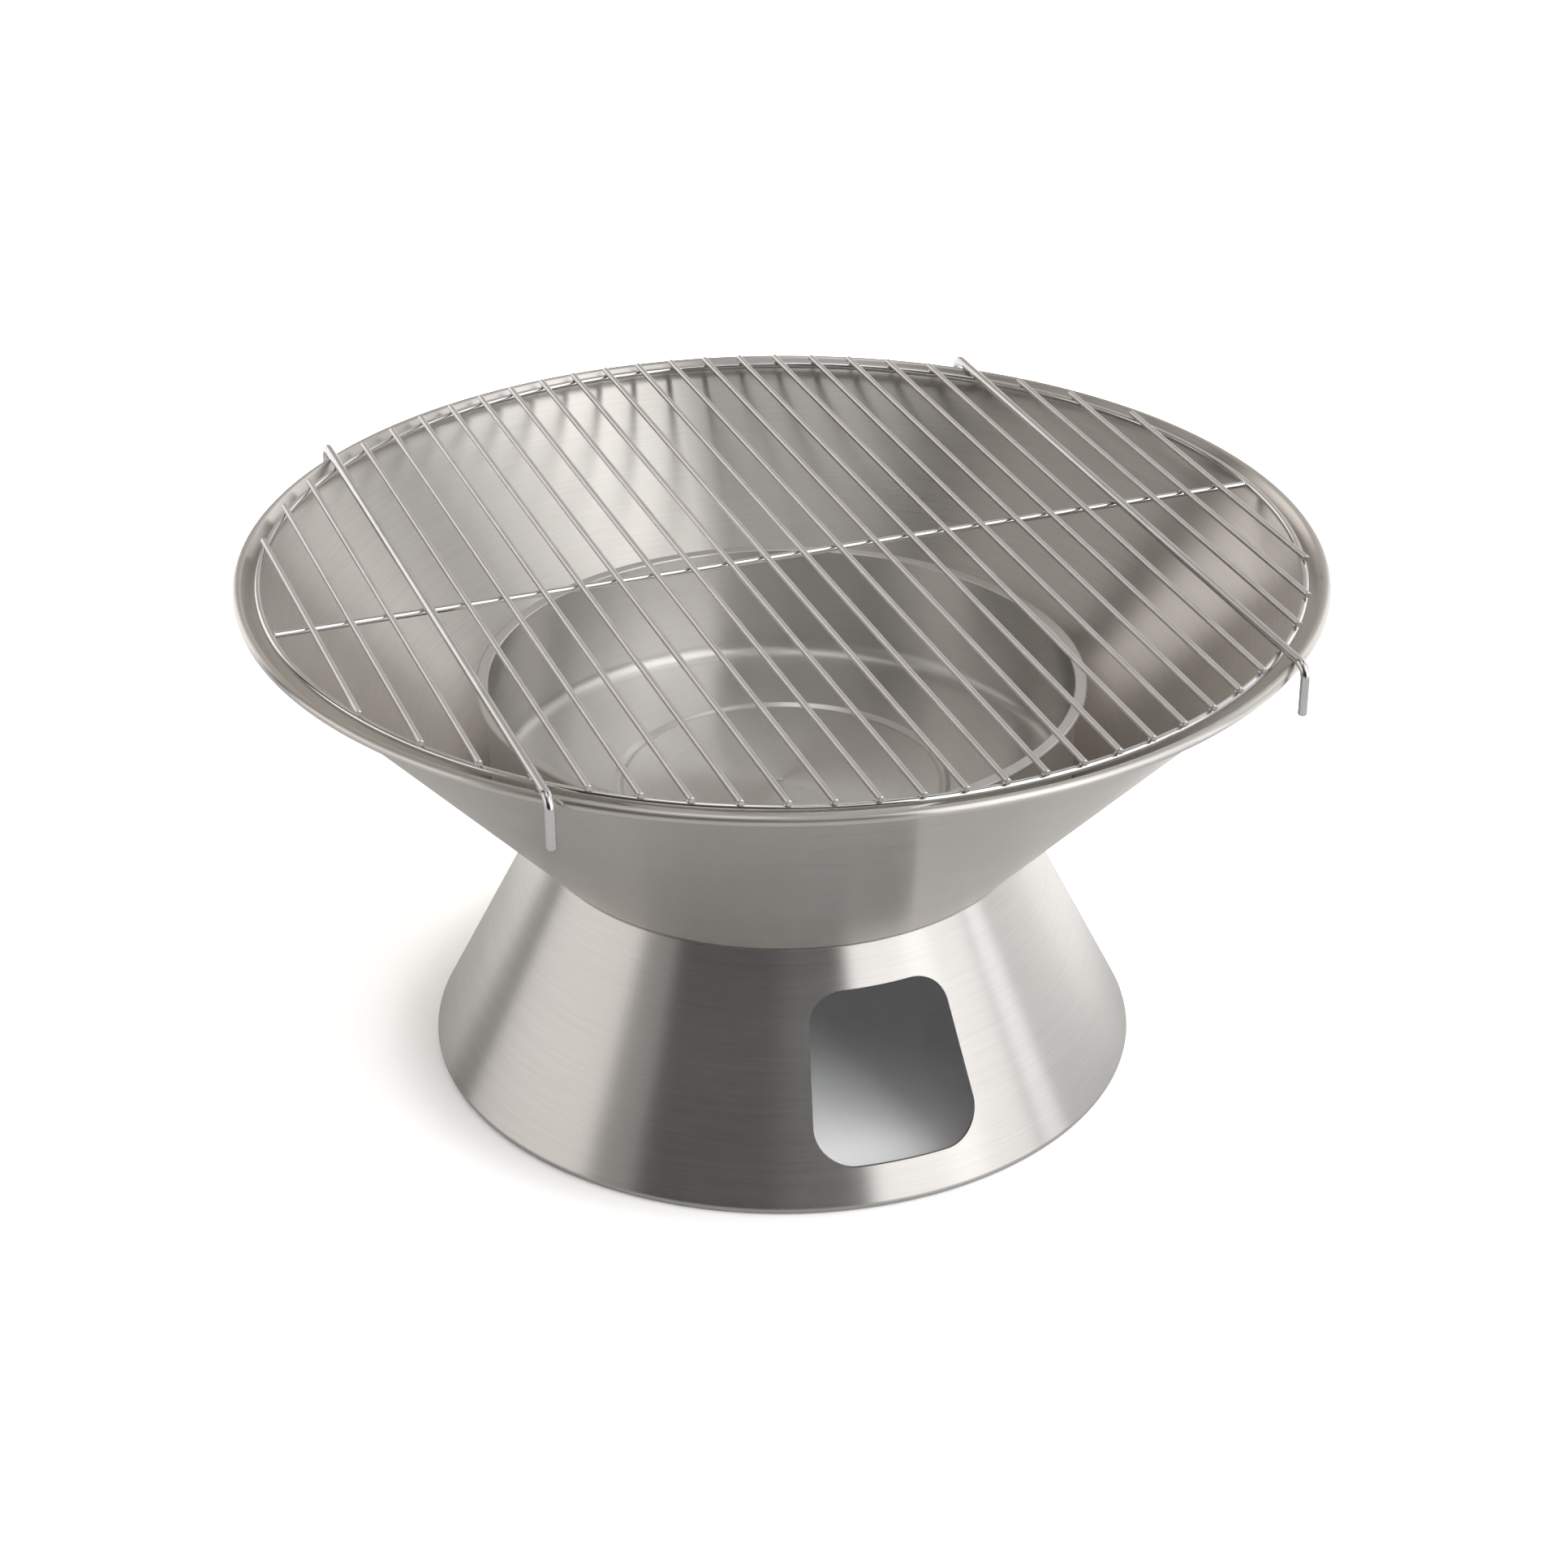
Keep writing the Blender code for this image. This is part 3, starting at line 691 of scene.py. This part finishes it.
def opening_outline():
    """Outline of the air opening in (x, height). Its sides follow the cone's straight lines."""
    slant = math.sin(BASE_SLOPE)

    def half_width(height):
        radius = NECK_RADIUS + (NECK_HEIGHT - height) / math.tan(BASE_SLOPE)
        return radius * math.sin(OPENING_HALF_ANGLE)

    low = OPENING_LOW / slant
    high = OPENING_HIGH / slant
    wide = half_width(OPENING_LOW)
    narrow = half_width(OPENING_HIGH)
    corners = [(-wide, low), (wide, low), (narrow, high), (-narrow, high)]
    points = []
    for i in range(4):
        before, here, after = corners[i - 1], corners[i], corners[(i + 1) % 4]
        into = math.atan2(here[1] - before[1], here[0] - before[0])
        out = math.atan2(after[1] - here[1], after[0] - here[0])
        turn = (out - into) % math.tau
        setback = OPENING_CORNER * math.tan(turn / 2)
        start = (here[0] - setback * math.cos(into), here[1] - setback * math.sin(into))
        centre = (
            start[0] - OPENING_CORNER * math.sin(into),
            start[1] + OPENING_CORNER * math.cos(into),
        )
        points += arc(centre, OPENING_CORNER, into - UP, into - UP + turn, OPENING_STEPS)
    return [(x, along * slant) for x, along in points]


def make_base():
    """The lower cone with the air opening. Its inside has a duller finish of its own."""
    finish = brushed_sheet("base_steel", *BASE_FINISH)
    base = finish_mesh("base_shell", turned(base_profile(), SEGMENTS))
    bm = bmesh.new()
    near = [bm.verts.new((x, -BASE_RADIUS - FOOT_WIDTH, z)) for x, z in opening_outline()]
    far = [bm.verts.new((x, -NECK_RADIUS / 2, z)) for x, z in opening_outline()]
    bm.faces.new(near)
    bm.faces.new(far)
    for i in range(len(near)):
        j = (i + 1) % len(near)
        bm.faces.new((near[i], near[j], far[j], far[i]))
    cut(base, bm)
    base.data.shade_smooth()
    base.data.set_sharp_from_angle(angle=math.radians(SHARP_ANGLE))
    even_normals(base.data, ((math.sin(BASE_SLOPE), math.cos(BASE_SLOPE)), (0.0, 1.0)))
    settle(base, finish, "stand", "base_steel", "base_cone")
    base.data.materials.append(wire_steel("base_inside", *INSIDE_FINISH))
    for face in base.data.polygons:
        outward = face.normal.x * face.center.x + face.normal.y * face.center.y
        if outward < 0.0 and face.normal.z < 0.0:
            face.material_index = 1


def groove(height, steps):
    """The pressed groove in the pan's floor, from its outer to its inner edge."""
    points = []
    for i in range(steps + 1):
        offset = 1.0 - 2.0 * i / steps
        dip = GROOVE_DEPTH * (1.0 + math.cos(math.pi * offset)) / 2
        points.append((GROOVE_RADIUS + GROOVE_HALF_WIDTH * offset, height - dip))
    return points


def pan_profile():
    """Outline of the pan from the middle of its floor, over the lip, to the middle underneath."""
    floor = PAN_BOTTOM + PAN_SHEET
    inner_radius = PAN_RADIUS - PAN_SHEET
    lip_roll = LIP_THICKNESS / 2
    outline = [(0.0, floor - CENTRE_MARK_DEPTH)]
    for share in CENTRE_MARK_SHARES:
        dip = CENTRE_MARK_DEPTH * (1.0 + math.cos(math.pi * share)) / 2
        outline.append((CENTRE_MARK_RADIUS * share, floor - dip))
    outline += groove(floor, GROOVE_STEPS)[::-1]
    centre = (inner_radius - PAN_FILLET, floor + PAN_FILLET)
    outline += arc(centre, PAN_FILLET, -UP, 0.0, FILLET_STEPS)
    centre = (inner_radius + PAN_SHEET, PAN_TOP - PAN_SHEET)
    outline += arc(centre, PAN_SHEET, 2 * UP, UP, LIP_INNER_STEPS)
    centre = (LIP_RADIUS - lip_roll, PAN_TOP - lip_roll)
    outline += arc(centre, lip_roll, UP, -UP, LIP_OUTER_STEPS)
    outline.append((PAN_RADIUS, PAN_TOP - LIP_THICKNESS))
    centre = (PAN_RADIUS - PAN_CORNER, PAN_BOTTOM + PAN_CORNER)
    outline += arc(centre, PAN_CORNER, 0.0, -UP, PAN_CORNER_STEPS)
    outline += groove(PAN_BOTTOM, GROOVE_UNDER_STEPS)
    outline.append((0.0, PAN_BOTTOM))
    return outline


def make_pan():
    """The loose fire pan."""
    finish = brushed_sheet("pan_steel", *PAN_FINISH)
    pan = finish_mesh("pan_shell", turned(pan_profile(), SEGMENTS), ((1.0, 0.0), (0.0, 1.0)))
    settle(pan, finish, "pan", "pan_steel", "fire_pan")


# ---------------------------------------------------------------- grate


def straight_wire(name, radius, half_length, place, across):
    """A straight wire along Y, or along X where across, with slightly broken end edges."""
    ends = []
    for share in (-1.0, 1.0):
        tip = (share * half_length, 0.0, 0.0, radius - BAR_CHAMFER)
        shoulder = (share * (half_length - BAR_CHAMFER), 0.0, 0.0, radius)
        ends += [tip, shoulder] if share < 0 else [shoulder, tip]
    bm = swept(ends, WIRE_SIDES)
    if across:
        turn = Matrix.Rotation(-UP, 3, "Z")
        bmesh.ops.rotate(bm, verts=bm.verts, cent=(0, 0, 0), matrix=turn)
    bmesh.ops.translate(bm, verts=bm.verts, vec=place)
    return finish_mesh(name, bm)


def handle_stations():
    """A handle wire: along Y over the grate, bent down into a hook at both ends."""
    turn_start = HOOK_REACH - HOOK_BEND
    half = []
    for i in range(HOOK_STEPS + 1):
        angle = UP * i / HOOK_STEPS
        half.append((
            turn_start + HOOK_BEND * math.sin(angle),
            HANDLE_Z - HOOK_BEND * (1.0 - math.cos(angle)),
            -angle,
            HANDLE_WIRE,
        ))
    rounding = HANDLE_WIRE * HOOK_TIP_ROUNDING
    for i in range(HOOK_TIP_STEPS + 1):
        angle = HOOK_TIP_TURN * i / HOOK_TIP_STEPS
        z = HOOK_TIP + rounding * (1.0 - math.sin(angle) / math.sin(HOOK_TIP_TURN))
        half.append((HOOK_REACH, z, -UP, HANDLE_WIRE * math.cos(angle)))
    mirrored = [(-y, z, -heading, radius) for y, z, heading, radius in reversed(half)]
    return mirrored + half


def add_nugget(bm, place, size, draw):
    """A weld nugget: a small uneven lump that joins two wires."""
    made = bmesh.ops.create_icosphere(bm, subdivisions=NUGGET_SUBDIVISIONS, radius=1.0)
    phase = [draw.uniform(0.0, math.tau) for _ in range(3)]
    swell = draw.uniform(*NUGGET_SWELL)
    for vert in made["verts"]:
        lump = 1.0
        for i, (waves, high) in enumerate(NUGGET_WAVES):
            lump += high * math.sin(waves * vert.co[i] + phase[i])
        vert.co = Vector(vert.co[i] * size[i] * lump * swell for i in range(3)) + Vector(place)


def make_grate():
    """Ring, cross wire, bars, handle wires and the weld nuggets between them."""
    bright = wire_steel("ring_steel", *RING_FINISH)
    satin = wire_steel("bar_steel", *BAR_FINISH)
    handle = wire_steel("handle_steel", *HANDLE_FINISH)
    draw = random.Random(NUGGET_SEED)

    section = arc((RING_RADIUS, RING_Z), RING_WIRE, 0.0, math.tau, RING_SIDES)[:-1]
    ring = finish_mesh("ring_wire", turned(section, SEGMENTS))
    settle(ring, bright, "grate", "ring_steel", "grate_ring")

    cross_radius = (cross_high.y - cross_low.y) / 2
    cross_z = (cross_high.z + cross_low.z) / 2
    cross_top = cross_z + cross_radius
    cross = straight_wire("cross_wire", cross_radius, cross_high.x, (0.0, 0.0, cross_z), True)
    settle(cross, bright, "grate", "ring_steel", "grate_cross_wire")

    ring_welds = bmesh.new()
    cross_welds = bmesh.new()
    for side in (-1.0, 1.0):
        spot = (side * cross_high.x, 0.0, cross_z)
        add_nugget(ring_welds, spot, CROSS_END_NUGGET, draw)

    bars = sorted(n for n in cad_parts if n.startswith("grate_bar_"))
    for node in bars:
        low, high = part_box(node)
        x = (low.x + high.x) / 2
        z = (low.z + high.z) / 2
        radius = (high.x - low.x) / 2
        name = node.replace("grate_bar", "bar_wire")
        bar = straight_wire(name, radius, high.y, (x, 0.0, z), False)
        settle(bar, satin, "grate", "bar_steel", node)
        add_crossings(ring_welds, cross_welds, x, z - radius, cross_top, draw)

    for node in ("handle_wire_left", "handle_wire_right"):
        low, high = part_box(node)
        x = (low.x + high.x) / 2
        bm = swept(handle_stations(), WIRE_SIDES)
        bmesh.ops.translate(bm, verts=bm.verts, vec=(x, 0.0, 0.0))
        rod = finish_mesh(node.replace("wire", "rod"), bm)
        settle(rod, handle, "grate", "handle_steel", node)
        add_crossings(ring_welds, cross_welds, x, HANDLE_Z - HANDLE_WIRE, cross_top, draw)

    settle(finish_mesh("ring_welds", ring_welds), bright, "grate", "ring_steel")
    settle(finish_mesh("cross_welds", cross_welds), bright, "grate", "ring_steel")


def add_crossings(ring_welds, cross_welds, x, underside, cross_top, draw):
    """Nuggets where a wire at this x lies on the ring, twice, and on the cross wire."""
    y = math.sqrt(RING_RADIUS ** 2 - x ** 2)
    joint = (underside + RING_Z + RING_WIRE) / 2
    for side in (-1.0, 1.0):
        add_nugget(ring_welds, (x, side * y, joint), RING_NUGGET, draw)
    joint = (underside + cross_top) / 2
    add_nugget(cross_welds, (x, 0.0, joint), CROSS_NUGGET, draw)


# ---------------------------------------------------------------- neck bolts


def bolt_profile(seat, tip):
    """A button head over a threaded shank, from the top of the head to the tip of the shank."""
    outline = [(0.0, seat + HEAD_HEIGHT)]
    for out, lift in arc((0.0, 0.0), 1.0, UP, 0.0, CROWN_STEPS):
        radius = CROWN_FLAT + (HEAD_RADIUS - CROWN_FLAT) * out
        outline.append((radius, seat + HEAD_EDGE + (HEAD_HEIGHT - HEAD_EDGE) * lift))
    outline.append((HEAD_RADIUS, seat))
    outline.append((BOLT_RADIUS, seat))
    turns = int((seat - tip) / THREAD_PITCH)
    for i in range(1, turns):
        z = seat - i * THREAD_PITCH
        outline.append((BOLT_RADIUS, z + THREAD_PITCH * THREAD_CREST))
        outline.append((BOLT_RADIUS - THREAD_DEPTH, z - THREAD_PITCH * THREAD_ROOT))
    outline.append((BOLT_RADIUS - THREAD_DEPTH, tip))
    outline.append((0.0, tip))
    return outline


def nut_mesh(low, high):
    """A hexagonal nut with broken corners and an open bore."""
    half_side = math.pi / 6         # half the angle that one side of the hexagon takes up
    corner = NUT_RADIUS - NUT_CHAMFER
    bore = BOLT_RADIUS + BORE_CLEARANCE
    levels = (
        (low, corner),
        (low + NUT_CHAMFER_HEIGHT, NUT_RADIUS),
        (high - NUT_CHAMFER_HEIGHT, NUT_RADIUS),
        (high, corner),
        (high, bore),
        (low, bore),
    )
    bm = bmesh.new()
    rings = []
    for z, limit in levels:
        ring = []
        for i in range(NUT_SIDES):
            angle = math.tau * i / NUT_SIDES
            flat = (angle + half_side) % (2 * half_side) - half_side
            hexagon = NUT_RADIUS * math.cos(half_side) / math.cos(half_side - abs(flat))
            reach = min(hexagon, limit)
            ring.append(bm.verts.new((reach * math.cos(angle), reach * math.sin(angle), z)))
        rings.append(ring)
    for one, other in zip(rings, rings[1:] + rings[:1]):
        for i in range(NUT_SIDES):
            j = (i + 1) % NUT_SIDES
            bm.faces.new((one[i], one[j], other[j], other[i]))
    return bm


def make_fasteners():
    """The four neck bolts with their nuts."""
    finish = wire_steel("fastener_steel", *FASTENER_FINISH)
    for number in range(1, 5):
        low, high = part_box(f"neck_bolt_{number}")
        place = ((low.x + high.x) / 2, (low.y + high.y) / 2)
        seat = high.z - HEAD_HEIGHT
        bm = turned(bolt_profile(seat, low.z), BOLT_SEGMENTS)
        bolt = finish_mesh(f"bolt_{number}", bm, sharp=FASTENER_SHARP_ANGLE)
        socket = bmesh.new()
        bmesh.ops.create_cone(
            socket,
            cap_ends=True,
            segments=6,
            radius1=SOCKET_RADIUS,
            radius2=SOCKET_RADIUS,
            depth=2 * SOCKET_DEPTH,
        )
        bmesh.ops.translate(socket, verts=socket.verts, vec=(0.0, 0.0, high.z))
        cut(bolt, socket)
        bolt.data.transform(Matrix.Translation((*place, 0.0)))
        bolt.data.shade_smooth()
        bolt.data.set_sharp_from_angle(angle=math.radians(FASTENER_SHARP_ANGLE))
        settle(bolt, finish, "stand", "fastener_steel", f"neck_bolt_{number}")

        low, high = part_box(f"neck_nut_{number}")
        bm = nut_mesh(low.z, high.z)
        bmesh.ops.translate(bm, verts=bm.verts, vec=(*place, 0.0))
        nut = finish_mesh(f"nut_{number}", bm)
        settle(nut, finish, "stand", "fastener_steel", f"neck_nut_{number}")


# ---------------------------------------------------------------- the scene

bpy.context.scene.view_settings.view_transform = "Standard"
aim_camera()
light_studio()
lay_floor()
make_base()
make_bowl()
make_pan()
make_grate()
make_fasteners()
